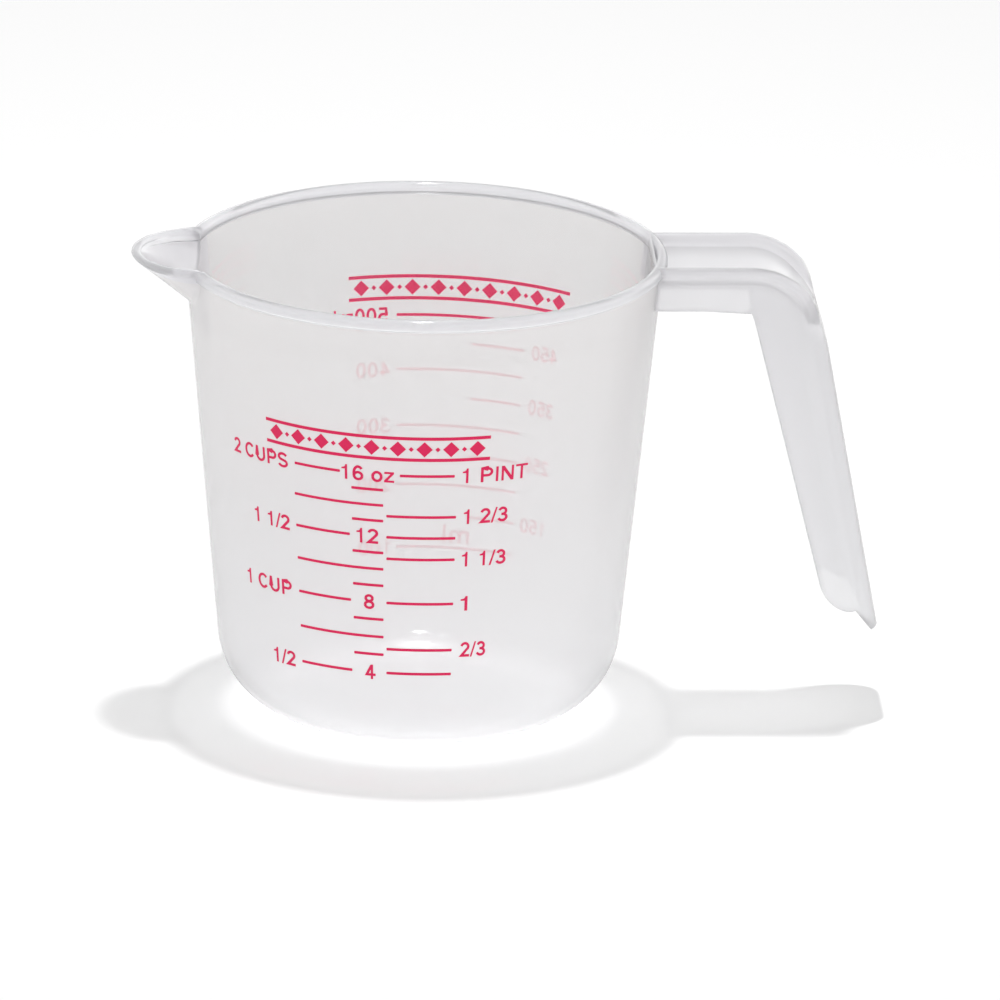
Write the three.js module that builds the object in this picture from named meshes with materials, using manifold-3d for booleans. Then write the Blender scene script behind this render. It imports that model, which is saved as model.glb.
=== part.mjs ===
// Two-cup measuring jug, moulded from translucent polypropylene and printed with two scales.
// Millimetres, +Z up. The origin is the middle of the resting face. The handle points to +X and the
// spout to -X. The ounce and cup scale is on the -Y side and the millilitre scale on the +Y side.

import * as THREE from 'three';
import { mergeVertices } from 'three/addons/utils/BufferGeometryUtils.js';
import Module from 'manifold-3d';

const wasm = await Module();
wasm.setup();

// Bowl
const JUG_HEIGHT = 110;
const RIM_RADIUS = 56; // outside of the rim bead
const BASE_RADIUS = 44.9; // outside of the side wall, carried down to the resting face
const CORNER_RADIUS = 19.7; // outside, between the floor and the side wall
const WALL = 1.4;
const FLOOR = 1.6;
const BEAD_WIDTH = 2.8; // the bead stands proud of the wall inside and outside
const BEAD_HEIGHT = 3;

// Pouring spout
const SPOUT_REACH = 11.4; // how far the lip runs out past the rim
const SPOUT_HALF_ANGLE = 18.8; // degrees of the rim to each side of the spout's middle
const SPOUT_DROP = 11.3; // rim to where the keel meets the side wall
const SPOUT_FULLNESS = 0.65; // 0.5 is a half ellipse, 1 a parabola
const LIP_ROUND = 0.6; // on both edges of the lip

// Handle
const HANDLE_WIDTH = 30.4;
const HANDLE_WALL = 1.6;
const BRIDGE_REACH = 74.8; // jug's axis to where the handle starts to bend
const BRIDGE_DEPTH = 10.4; // rim to the free edge of the side skirts
const PLATE_SINK = 2.6; // top plate below the two edge beads
const PLATE_FILLET = 1.2; // between the plate and the edge beads
const BEND_RADIUS = 17.3; // outside
const BEAD_END = 14; // run along the bend at which the edge beads begin to fade
const BEAD_FADE = 17; // run over which they fade into the grip
const GRIP_LEAN = 10.8; // degrees from upright
const GRIP_DEPTH_TOP = 16.2; // level, at the height of the bridge's free edge
const GRIP_DEPTH_END = 11.4; // level, at the skirts' lower end
const GRIP_EDGE_RADIUS = 7;
const GRIP_END_HEIGHT = 22.5; // resting face to the lower end of the grip
const INNER_CORNER_RADIUS = 3; // finger side, between the bridge and the grip
const END_LIP = 5.8; // how far the grip runs on below the skirts
const END_LIP_DEPTH = 4.4;
const SKIRT_END_RADIUS = 9.2;

// Printed scales
const INK_THICKNESS = 0.3;
const LINE_WIDTH = 0.65;
const OUNCE_SCALE_AZIMUTH = -105.2; // middle of each scale, degrees from +X
const MILLILITRE_SCALE_AZIMUTH = 76.9;
const MILLILITRE_SCALE_LIFT = 2.9; // the back scale is printed this much above its true level
const MILLILITRES_PER_OUNCE = 29.5735;
const OUNCES_PER_CUP = 8;

// Where two pieces meet
const SEAM = 0.3;

// Fineness
const ROUND_STEPS = 72;
const CORNER_STEPS = 7;
const BEND_STEPS = 9;
const GRIP_STEPS = 10;
const FILL_STEP = 0.25;

const degrees = THREE.MathUtils.degToRad;
const beadOverhang = (BEAD_WIDTH - WALL) / 2;
const wallTopRadius = RIM_RADIUS - beadOverhang;
const wallSlope = (wallTopRadius - BASE_RADIUS) / JUG_HEIGHT;
const wallLean = Math.atan(wallSlope);
const beadFoot = JUG_HEIGHT - BEAD_HEIGHT;

// Materials
const polypropylene = new THREE.MeshStandardMaterial({
  color: 0xe4e3e5,
  roughness: 0.3,
  metalness: 0,
  transparent: true,
  opacity: 0.6,
});
const crimsonInk = new THREE.MeshStandardMaterial({ color: 0xcf2449, roughness: 0.45, metalness: 0 });

// Solids

function toSolid(geometry) {
  const bare = geometry.clone();
  bare.deleteAttribute('normal');
  bare.deleteAttribute('uv');
  const merged = mergeVertices(bare, 1e-4);
  const mesh = new wasm.Mesh({
    numProp: 3,
    vertProperties: new Float32Array(merged.attributes.position.array),
    triVerts: new Uint32Array(merged.index.array),
  });
  return new wasm.Manifold(mesh);
}

function toGeometry(solid) {
  const mesh = solid.getMesh();
  const geometry = new THREE.BufferGeometry();
  geometry.setAttribute('position', new THREE.BufferAttribute(new Float32Array(mesh.vertProperties), 3));
  geometry.setIndex(new THREE.BufferAttribute(new Uint32Array(mesh.triVerts), 1));
  geometry.computeVertexNormals();
  return geometry;
}

// A closed skin over rings of points. The rings run so that each one turns anticlockwise when it is
// looked at from the last ring towards the first, and both ends are capped.
function loft(rings) {
  const count = rings[0].length;
  const positions = rings.flat().flatMap((point) => [point.x, point.y, point.z]);
  const index = [];
  for (let ring = 0; ring + 1 < rings.length; ring += 1) {
    for (let i = 0; i < count; i += 1) {
      const a = ring * count + i;
      const b = ring * count + ((i + 1) % count);
      index.push(a, b, b + count, a, b + count, a + count);
    }
  }
  const lastRing = (rings.length - 1) * count;
  for (const [p, q, r] of THREE.ShapeUtils.triangulateShape(flatten(rings[0]), [])) {
    index.push(p, r, q);
  }
  for (const [p, q, r] of THREE.ShapeUtils.triangulateShape(flatten(rings[rings.length - 1]), [])) {
    index.push(lastRing + p, lastRing + q, lastRing + r);
  }
  const geometry = new THREE.BufferGeometry();
  geometry.setAttribute('position', new THREE.BufferAttribute(new Float32Array(positions), 3));
  geometry.setIndex(index);
  return geometry;
}

// A flat ring of points in its own plane, turning anticlockwise.
function flatten(ring) {
  const normal = new THREE.Vector3();
  for (let i = 0; i < ring.length; i += 1) {
    normal.add(new THREE.Vector3().crossVectors(ring[i], ring[(i + 1) % ring.length]));
  }
  normal.normalize();
  const across = new THREE.Vector3(0, 1, 0);
  if (Math.abs(normal.y) > 0.9) across.set(1, 0, 0);
  const u = new THREE.Vector3().crossVectors(across, normal).normalize();
  const v = new THREE.Vector3().crossVectors(normal, u);
  return ring.map((point) => new THREE.Vector2(point.dot(u), point.dot(v)));
}

function arcPoints(centreX, centreY, radius, from, to, steps) {
  return Array.from({ length: steps + 1 }, (_, i) => {
    const angle = from + ((to - from) * i) / steps;
    return new THREE.Vector2(centreX + radius * Math.cos(angle), centreY + radius * Math.sin(angle));
  });
}

function revolve(profile) {
  return new THREE.LatheGeometry(profile, ROUND_STEPS).rotateX(Math.PI / 2);
}

// Bowl

// Radius of a skin that lies inside the outer one by the given amount, over a floor at floorHeight.
function skinRadius(height, inset, floorHeight) {
  const corner = CORNER_RADIUS - inset;
  const sideRadius = BASE_RADIUS + wallSlope * height - inset / Math.cos(wallLean);
  const centreHeight = floorHeight + corner;
  if (height >= centreHeight - corner * Math.sin(wallLean)) return sideRadius;
  const centreRadius = BASE_RADIUS + wallSlope * centreHeight - CORNER_RADIUS / Math.cos(wallLean);
  return centreRadius + Math.sqrt(Math.max(corner ** 2 - (centreHeight - height) ** 2, 0));
}

function outerRadius(height) {
  return skinRadius(height, 0, 0);
}

function innerRadius(height) {
  return skinRadius(height, WALL, FLOOR);
}

// The floor's edge, the corner and the foot of the side wall, from the inside out.
function cornerProfile(inset, floorHeight) {
  const corner = CORNER_RADIUS - inset;
  const centreHeight = floorHeight + corner;
  const centreRadius = BASE_RADIUS + wallSlope * centreHeight - CORNER_RADIUS / Math.cos(wallLean);
  return arcPoints(centreRadius, centreHeight, corner, -Math.PI / 2, -wallLean, CORNER_STEPS);
}

function outerProfile(extra) {
  return cornerProfile(0, 0).map((point) => new THREE.Vector2(point.x + extra, point.y));
}

function makeBowl() {
  const round = BEAD_WIDTH / 2;
  const beadCentre = RIM_RADIUS - round;
  const crown = arcPoints(beadCentre, JUG_HEIGHT - round, round, 0, Math.PI, CORNER_STEPS);
  const profile = [
    new THREE.Vector2(0, 0),
    ...outerProfile(0),
    new THREE.Vector2(outerRadius(beadFoot), beadFoot),
    new THREE.Vector2(RIM_RADIUS, beadFoot + beadOverhang),
    ...crown,
    new THREE.Vector2(RIM_RADIUS - BEAD_WIDTH, beadFoot + beadOverhang),
    new THREE.Vector2(innerRadius(beadFoot), beadFoot),
    ...cornerProfile(WALL, FLOOR).reverse(),
    new THREE.Vector2(0, FLOOR),
  ];
  return toSolid(revolve(profile)).subtract(spoutSolid(spoutChannelRadius));
}

// Everything that the bowl's outside encloses, grown by the seam, to cut its neighbours back.
function bowlEnvelope() {
  const clear = 2 * BEAD_HEIGHT;
  return toSolid(
    revolve([
      new THREE.Vector2(0, 0),
      ...outerProfile(SEAM),
      new THREE.Vector2(outerRadius(beadFoot) + SEAM, beadFoot - SEAM),
      new THREE.Vector2(RIM_RADIUS + SEAM, beadFoot + beadOverhang - SEAM),
      new THREE.Vector2(RIM_RADIUS + SEAM, JUG_HEIGHT + clear),
      new THREE.Vector2(0, JUG_HEIGHT + clear),
    ]),
  );
}

// Pouring spout

// How far the lip stands out past the rim, in plan, at a fraction of the half angle.
function lipReach(fraction) {
  return SPOUT_REACH * Math.max(1 - fraction ** 2, 0) ** SPOUT_FULLNESS;
}

// How far the keel comes in for each millimetre that it comes down, to meet the side wall at its foot.
const keelSlope =
  (RIM_RADIUS + SPOUT_REACH - outerRadius(JUG_HEIGHT - SPOUT_DROP)) / (SPOUT_DROP - LIP_ROUND);

function keelDraw(depth) {
  return keelSlope * Math.max(depth - LIP_ROUND, 0);
}

// How far the lip's rounded edges lie inside its full thickness at a depth.
function lipInset(depth) {
  const below = Math.max(LIP_ROUND - depth, 0);
  return LIP_ROUND - Math.sqrt(LIP_ROUND ** 2 - below ** 2);
}

function spoutShellRadius(fraction, depth) {
  return RIM_RADIUS + lipReach(fraction) - keelDraw(depth) - lipInset(depth);
}

// The channel keeps the wall's thickness under the sloping keel. Past its own sides and under its keel
// it runs inside the bowl, whose wall it leaves whole.
function spoutChannelRadius(fraction, depth) {
  const keelWall = WALL * Math.hypot(1, keelSlope);
  const wallAngle = THREE.MathUtils.radToDeg(WALL / RIM_RADIUS);
  const narrowed = (fraction * SPOUT_HALF_ANGLE) / (SPOUT_HALF_ANGLE - wallAngle);
  const beyond = SPOUT_REACH * Math.max(Math.abs(narrowed) - 1, 0);
  return RIM_RADIUS + lipReach(narrowed) - beyond - keelDraw(depth) - keelWall + lipInset(depth);
}

// The sector of space under a spout surface, from inside the bowl out to the surface.
function spoutSolid(radiusAt) {
  const heart = RIM_RADIUS / 2;
  const isChannel = radiusAt === spoutChannelRadius;
  const depths = [0, 0.1 * LIP_ROUND, 0.4 * LIP_ROUND, LIP_ROUND, SPOUT_DROP];
  const sideSteps = 12;
  const fractions = Array.from({ length: 2 * sideSteps + 1 }, (_, i) =>
    Math.sin((Math.PI / 2) * (i / sideSteps - 1)),
  );
  const levels = depths.map((depth) => ({ depth, height: JUG_HEIGHT - depth }));
  if (isChannel) levels.unshift({ depth: 0, height: JUG_HEIGHT + BEAD_HEIGHT });
  const ringAt = ({ depth, height }) => {
    const rim = fractions.map((fraction) => {
      const angle = Math.PI - degrees(SPOUT_HALF_ANGLE) * fraction;
      const radius = radiusAt(fraction, depth);
      return new THREE.Vector3(radius * Math.cos(angle), radius * Math.sin(angle), height);
    });
    const ends = [1, -1].map((side) => {
      const angle = Math.PI - degrees(SPOUT_HALF_ANGLE) * side;
      return new THREE.Vector3(heart * Math.cos(angle), heart * Math.sin(angle), height);
    });
    return [...rim, ...ends];
  };
  return toSolid(loft(levels.map(ringAt)));
}

function makeSpout() {
  return spoutSolid(spoutShellRadius).subtract(spoutSolid(spoutChannelRadius)).subtract(bowlEnvelope());
}

// Handle

const gripTangent = degrees(GRIP_LEAN);
const bendCentre = new THREE.Vector2(BRIDGE_REACH, JUG_HEIGHT - BEND_RADIUS);
const bendTurn = Math.PI / 2 - gripTangent;
const bendEnd = new THREE.Vector2(
  bendCentre.x + BEND_RADIUS * Math.cos(gripTangent),
  bendCentre.y + BEND_RADIUS * Math.sin(gripTangent),
);
const gripDown = new THREE.Vector2(Math.sin(gripTangent), -Math.cos(gripTangent));
const gripLength = (bendEnd.y - GRIP_END_HEIGHT) / Math.cos(gripTangent);
const gripEnd = bendEnd.clone().addScaledVector(gripDown, gripLength);
const gripInward = new THREE.Vector2(-Math.cos(gripTangent), -Math.sin(gripTangent));

// The finger side of the grip is a straight line through these two points.
const fingerTop = pointOnGripLine(JUG_HEIGHT - BRIDGE_DEPTH, GRIP_DEPTH_TOP);
const fingerEnd = pointOnGripLine(gripEnd.y + END_LIP, GRIP_DEPTH_END);

function pointOnGripLine(height, levelDepth) {
  const outerX = bendEnd.x + (bendEnd.y - height) * Math.tan(gripTangent);
  return new THREE.Vector2(outerX - levelDepth, height);
}

// Distance from a point of the outer path, along its inward normal, to the line through two points.
function distanceToLine(point, inward, from, to) {
  const along = to.clone().sub(from);
  const gap = from.clone().sub(point);
  return gap.cross(along) / inward.cross(along);
}

function softMaximum(a, b, radius) {
  const blend = Math.max(radius - Math.abs(a - b), 0) / radius;
  return Math.max(a, b) + (blend ** 2 * radius) / 4;
}

// Places along the handle's outer path, from inside the bowl to the lower end of the grip. Each has
// the point, the inward normal, the depth of the side skirts and how far the section has changed
// from the bridge's beaded plate (0) to the grip's rounded channel (1).
function handleStations() {
  const stations = [];
  const down = new THREE.Vector2(0, -1);
  const rootX = RIM_RADIUS / 2;
  const changeAt = (run) => THREE.MathUtils.smoothstep(run, BEAD_END, BEAD_END + BEAD_FADE);
  for (const x of [rootX, BRIDGE_REACH - BRIDGE_DEPTH]) {
    stations.push({ point: new THREE.Vector2(x, JUG_HEIGHT), inward: down, depth: BRIDGE_DEPTH, change: 0 });
  }
  for (let i = 0; i <= BEND_STEPS; i += 1) {
    const turned = (bendTurn * i) / BEND_STEPS;
    const inward = new THREE.Vector2(-Math.sin(turned), -Math.cos(turned));
    const point = bendCentre.clone().addScaledVector(inward, -BEND_RADIUS);
    const toBridgeEdge = (point.y - JUG_HEIGHT + BRIDGE_DEPTH) / Math.cos(turned);
    const toFingerLine = distanceToLine(point, inward, fingerTop, fingerEnd);
    stations.push({
      point,
      inward,
      depth: softMaximum(toBridgeEdge, toFingerLine, INNER_CORNER_RADIUS),
      change: changeAt(turned * BEND_RADIUS),
    });
  }
  for (let i = 1; i <= GRIP_STEPS; i += 1) {
    const along = (gripLength * i) / GRIP_STEPS;
    const point = bendEnd.clone().addScaledVector(gripDown, along);
    const depth = distanceToLine(point, gripInward, fingerTop, fingerEnd);
    stations.push({ point, inward: gripInward, depth, change: changeAt(bendTurn * BEND_RADIUS + along) });
  }
  return stations;
}

// Half of the bridge's section: [distance from the middle, depth], from the middle of the top plate
// over the edge bead to the skirt's free edge, and back along the inside.
function bridgeHalfSection(depth) {
  const edge = HANDLE_WIDTH / 2;
  const side = edge - beadOverhang;
  const round = BEAD_WIDTH / 2;
  const inside = side - HANDLE_WALL;
  const under = PLATE_SINK + HANDLE_WALL;
  const diagonal = round * (1 - Math.SQRT1_2);
  const foot = edge - BEAD_WIDTH;
  const rise = PLATE_FILLET * (1 - Math.SQRT1_2);
  return [
    [0, PLATE_SINK],
    [foot - PLATE_FILLET, PLATE_SINK],
    [foot - rise, PLATE_SINK - rise],
    [foot, PLATE_SINK - PLATE_FILLET],
    [foot + diagonal, diagonal],
    [edge - round, 0],
    [edge - diagonal, diagonal],
    [edge, round],
    [edge, BEAD_HEIGHT - beadOverhang],
    [side, BEAD_HEIGHT],
    [side, depth],
    [inside, depth],
    [inside, under + round],
    [inside - diagonal, under + diagonal],
    [inside - round, under],
    [0, under],
  ];
}

// Half of the grip's section, with the same number of points.
function gripHalfSection(depth) {
  const side = HANDLE_WIDTH / 2 - beadOverhang;
  const inside = side - HANDLE_WALL;
  const radius = GRIP_EDGE_RADIUS;
  const centre = side - radius;
  const edgeSteps = 7;
  const corner = (reach, step, steps) => {
    const angle = (Math.PI / 2) * (step / steps);
    return [centre + reach * Math.sin(angle), radius - reach * Math.cos(angle)];
  };
  const outside = Array.from({ length: edgeSteps + 1 }, (_, i) => corner(radius, i, edgeSteps));
  const innerReach = radius - HANDLE_WALL;
  return [
    [0, 0],
    ...outside,
    [side, (radius + depth) / 2],
    [side, depth],
    [inside, depth],
    corner(innerReach, 2, 2),
    corner(innerReach, 1, 2),
    corner(innerReach, 0, 2),
    [0, HANDLE_WALL],
  ];
}

function handleRing({ point, inward, depth, change }) {
  const bridge = bridgeHalfSection(depth);
  const grip = gripHalfSection(depth);
  const half = bridge.map(([y, n], i) => [
    THREE.MathUtils.lerp(y, grip[i][0], change),
    THREE.MathUtils.lerp(n, grip[i][1], change),
  ]);
  const mirrored = half.slice(1, -1).map(([y, n]) => [-y, n]);
  return [...half, ...mirrored.reverse()].reverse().map(([y, n]) => {
    const place = point.clone().addScaledVector(inward, n);
    return new THREE.Vector3(place.x, y, place.y);
  });
}

// What is cut away below the skirts, seen from the side. The lip of the grip stays.
function gripEndCutter() {
  const at = (up, depth) =>
    gripEnd.clone().addScaledVector(gripDown, -up).addScaledVector(gripInward, depth);
  const far = 2 * GRIP_DEPTH_END;
  const sideDepth = distanceToLine(at(END_LIP + SKIRT_END_RADIUS, 0), gripInward, fingerTop, fingerEnd);
  const roundDepth = sideDepth - END_LIP_DEPTH;
  const outline = [at(-END_LIP, HANDLE_WALL), at(0, HANDLE_WALL), at(END_LIP, END_LIP_DEPTH)];
  for (let i = 1; i <= CORNER_STEPS; i += 1) {
    const angle = (Math.PI / 2) * (i / CORNER_STEPS);
    const up = END_LIP + SKIRT_END_RADIUS * (1 - Math.cos(angle));
    outline.push(at(up, END_LIP_DEPTH + roundDepth * Math.sin(angle)));
  }
  outline.push(at(END_LIP + SKIRT_END_RADIUS, far), at(-END_LIP, far));
  const cutter = new THREE.ExtrudeGeometry(new THREE.Shape(outline), {
    depth: 2 * HANDLE_WIDTH,
    bevelEnabled: false,
  });
  cutter.rotateX(Math.PI / 2).translate(0, HANDLE_WIDTH, 0);
  return toSolid(cutter);
}

function makeHandle() {
  const whole = toSolid(loft(handleStations().map(handleRing)));
  return whole.subtract(bowlEnvelope()).subtract(gripEndCutter());
}

// Printed scales

// Height above the resting face to which a volume fills the bowl.
function fillHeight(millilitres) {
  let volume = 0;
  let height = FLOOR;
  while (height < JUG_HEIGHT) {
    const slice = (Math.PI * innerRadius(height + FILL_STEP / 2) ** 2 * FILL_STEP) / 1000;
    if (volume + slice > millilitres) return height + (FILL_STEP * (millilitres - volume)) / slice;
    volume += slice;
    height += FILL_STEP;
  }
  return height;
}

// A curved line of ink round the wall, from one angle to another, centred on a height.
function inkLine(azimuth, from, to, height) {
  const low = height - LINE_WIDTH / 2;
  const radius = outerRadius(low + LINE_WIDTH) + SEAM;
  const start = degrees(azimuth + from);
  const end = degrees(azimuth + to);
  const steps = Math.max(Math.ceil((to - from) / 4), 2);
  const shape = new THREE.Shape([
    ...arcPoints(0, 0, radius + INK_THICKNESS, start, end, steps),
    ...arcPoints(0, 0, radius, end, start, steps),
  ]);
  return new THREE.ExtrudeGeometry(shape, { depth: LINE_WIDTH, bevelEnabled: false }).translate(0, 0, low);
}

// Columns of each scale: the angles, in degrees from the scale's middle, that a line runs between.
const OUNCE_COLUMNS = {
  long: [-21.75, 2.95],
  short: [-5.4, 2.95],
  left: [-21.75, -6.05],
  right: [3.75, 21.75],
  top_left: [-21.35, -8.4],
  top_right: [7.2, 21.1],
};
const MILLILITRE_COLUMNS = {
  long: [-17.4, 17.4],
  short: [-17.4, -2.6],
};

const ounceLines = [
  { ounces: 16, columns: ['top_left', 'top_right'] },
  { ounces: 15, columns: ['short'] },
  { ounces: 14, columns: ['long'] },
  { ounces: 13, columns: ['short'] },
  { ounces: 12, columns: ['left', 'right'] },
  { ounces: 11, columns: ['short'] },
  { ounces: 10, columns: ['long'] },
  { ounces: 9, columns: ['short'] },
  { ounces: 8, columns: ['left', 'right'] },
  { ounces: 7, columns: ['short'] },
  { ounces: 6, columns: ['long'] },
  { ounces: 5, columns: ['short'] },
  { ounces: 4, columns: ['left', 'right'] },
];
const thirdCups = [5, 4, 2];
const longMillilitres = [500, 400, 300, 200, 100];
const shortMillilitres = [450, 350, 250, 150];

// Assembly

const jug = new THREE.Group();

function addPiece(name, geometry, material) {
  const mesh = new THREE.Mesh(geometry, material);
  mesh.name = name;
  jug.add(mesh);
}

addPiece('bowl', toGeometry(makeBowl()), polypropylene);
addPiece('pouring_spout', toGeometry(makeSpout()), polypropylene);
addPiece('handle', toGeometry(makeHandle()), polypropylene);

for (const { ounces, columns } of ounceLines) {
  for (const column of columns) {
    const [from, to] = OUNCE_COLUMNS[column];
    const side = columns.length > 1 ? `_${column.replace('top_', '')}` : '';
    const height = fillHeight(ounces * MILLILITRES_PER_OUNCE);
    addPiece(`line_${ounces}_oz${side}`, inkLine(OUNCE_SCALE_AZIMUTH, from, to, height), crimsonInk);
  }
}

for (const thirds of thirdCups) {
  const height = fillHeight((thirds / 3) * OUNCES_PER_CUP * MILLILITRES_PER_OUNCE);
  const [from, to] = OUNCE_COLUMNS.right;
  addPiece(`line_${thirds}_thirds_cup`, inkLine(OUNCE_SCALE_AZIMUTH, from, to, height), crimsonInk);
}

for (const millilitres of [...longMillilitres, ...shortMillilitres]) {
  const column = longMillilitres.includes(millilitres) ? 'long' : 'short';
  const [from, to] = MILLILITRE_COLUMNS[column];
  const height = fillHeight(millilitres) + MILLILITRE_SCALE_LIFT;
  addPiece(`line_${millilitres}_ml`, inkLine(MILLILITRE_SCALE_AZIMUTH, from, to, height), crimsonInk);
}

export default jug;
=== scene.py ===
"""Dresses a two-cup measuring jug: one moulding of milky polypropylene with two crimson prints.

Metres, +Z up, in the frame of the CAD model: the handle points to +X, the spout to -X, the ounce
scale is on the -Y side and the millilitre scale on the +Y side.
"""

import math

import bmesh
import bpy
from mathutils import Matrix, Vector


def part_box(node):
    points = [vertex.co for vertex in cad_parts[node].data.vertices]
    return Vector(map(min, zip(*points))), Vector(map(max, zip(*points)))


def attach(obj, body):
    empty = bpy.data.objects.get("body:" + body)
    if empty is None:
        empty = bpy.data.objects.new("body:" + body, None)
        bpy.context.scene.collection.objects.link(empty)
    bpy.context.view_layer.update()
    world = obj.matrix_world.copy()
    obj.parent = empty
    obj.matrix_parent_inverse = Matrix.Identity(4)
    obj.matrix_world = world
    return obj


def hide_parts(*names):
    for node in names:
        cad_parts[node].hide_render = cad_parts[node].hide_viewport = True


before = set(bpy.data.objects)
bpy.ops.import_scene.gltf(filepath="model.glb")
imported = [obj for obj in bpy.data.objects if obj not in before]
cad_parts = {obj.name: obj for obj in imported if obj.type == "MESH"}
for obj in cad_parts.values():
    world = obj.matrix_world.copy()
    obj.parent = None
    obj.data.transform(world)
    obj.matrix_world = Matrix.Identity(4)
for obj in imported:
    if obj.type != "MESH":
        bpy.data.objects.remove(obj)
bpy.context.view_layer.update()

bl_info = {
    "name": "Measuring Jug",
    "version": (1, 0, 0),
    "blender": (4, 5, 0),
    "location": "View3D > Sidebar > Measuring Jug",
    "description": "Moulds, prints and lights a translucent measuring jug",
    "category": "Add Mesh",
}

_, BOWL_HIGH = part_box("bowl")
SPOUT_LOW, SPOUT_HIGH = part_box("pouring_spout")
HANDLE_LOW, HANDLE_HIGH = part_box("handle")
MM = 0.001
BODY = "root"


# Values that a user can change

def linear(code):
    """An sRGB hex colour as linear red, green and blue."""
    parts = [int(code[i : i + 2], 16) / 255 for i in (1, 3, 5)]
    return [p / 12.92 if p <= 0.04045 else ((p + 0.055) / 1.055) ** 2.4 for p in parts]


def number(label, note, value, precision=3, **limits):
    return bpy.props.FloatProperty(
        name=label, description=note, default=value, precision=precision, **limits
    )


def length(label, note, metres):
    return number(label, note, metres, 5, unit="LENGTH")


def angle(label, note, degrees):
    return number(label, note, math.radians(degrees), subtype="ANGLE")


def share(label, note, value):
    return number(label, note, value, min=0, max=1, subtype="FACTOR")


def colour(label, note, code):
    return bpy.props.FloatVectorProperty(
        name=label, description=note, default=linear(code), size=3, min=0, max=1, subtype="COLOR"
    )


class BowlSizes(bpy.types.PropertyGroup):
    """The bowl with its rim bead and pouring spout"""

    height: length("Height", "Resting face to the top of the rim", BOWL_HIGH.z)
    rim_radius: length("Rim radius", "Outside of the rim bead", BOWL_HIGH.y)
    base_radius: length("Base radius", "Side wall carried down to the resting face", 44.9 * MM)
    corner_radius: length("Corner radius", "Outside, between the floor and the wall", 19.7 * MM)
    wall: length("Wall", "Thickness of the side wall", 1.4 * MM)
    floor: length("Floor", "Thickness of the floor", 1.6 * MM)
    bead_width: length("Bead width", "The rim bead across both its swells", 2.8 * MM)
    bead_height: length("Bead height", "The rim bead from its foot to its crown", 3 * MM)
    spout_reach: length("Spout reach", "The lip past the rim", -SPOUT_LOW.x - BOWL_HIGH.y)
    spout_half_angle: angle("Spout half angle", "The rim to each side of the spout's middle", 18.8)
    spout_drop: length("Spout drop", "The rim to where the keel meets the wall", 11.3 * MM)
    spout_fullness: number("Spout fullness", "0.5 is a half ellipse, 1 a parabola", 0.65)
    spout_blend: length("Spout blend", "Rounding where the spout leaves the wall, outside", 0.9 * MM)
    channel_blend: length("Channel blend", "The same inside", 2.4 * MM)
    root_half_width: length("Root half width", "The handle's root, from its middle", HANDLE_HIGH.y)
    root_depth: length("Root depth", "The handle's root, below the rim", 10.4 * MM)
    lip_round: length("Lip round", "Edge of the lip at its tip, where no bead is left", 0.6 * MM)


class HandleSizes(bpy.types.PropertyGroup):
    """The handle: a beaded bridge, a bend and a grip that ends in a lip"""

    width: length("Width", "Across the edge beads", 2 * HANDLE_HIGH.y)
    wall: length("Wall", "Thickness of the plate and the skirts", 1.6 * MM)
    bridge_reach: length("Bridge reach", "The jug's axis to the start of the bend", 74.8 * MM)
    bridge_depth: length("Bridge depth", "Top of the beads to the skirts' edge", 10.4 * MM)
    plate_sink: length("Plate sink", "The plate below the edge beads", 2.6 * MM)
    plate_fillet: length("Plate fillet", "Between the plate and the beads", 1.2 * MM)
    bend_radius: length("Bend radius", "Outside of the bend", 17.3 * MM)
    bead_end: length("Bead end", "Run along the bend at which the beads begin to fade", 14 * MM)
    bead_fade: length("Bead fade", "Run over which the beads fade into the grip", 17 * MM)
    lean: angle("Grip lean", "The grip from upright", 10.8)
    depth_top: length("Grip depth", "Level, at the height of the bridge's edge", 16.2 * MM)
    depth_end: length("Grip end depth", "Level, at the skirts' lower end", 11.4 * MM)
    edge_radius: length("Grip edge radius", "Outside edges of the grip", 7 * MM)
    end_height: length("End height", "Resting face to the grip's end", HANDLE_LOW.z)
    inner_corner: length("Inner corner", "Finger side, between the bridge and the grip", 3 * MM)
    end_lip: length("End lip", "The grip's run below its skirts", 5.8 * MM)
    end_lip_depth: length("End lip depth", "Where the skirts begin above the lip", 4.4 * MM)
    skirt_end_radius: length("Skirt end radius", "Lower corner of the skirts", 9.2 * MM)
    edge_round: length("Edge round", "Free edges of the skirts", 0.45 * MM)


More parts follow.
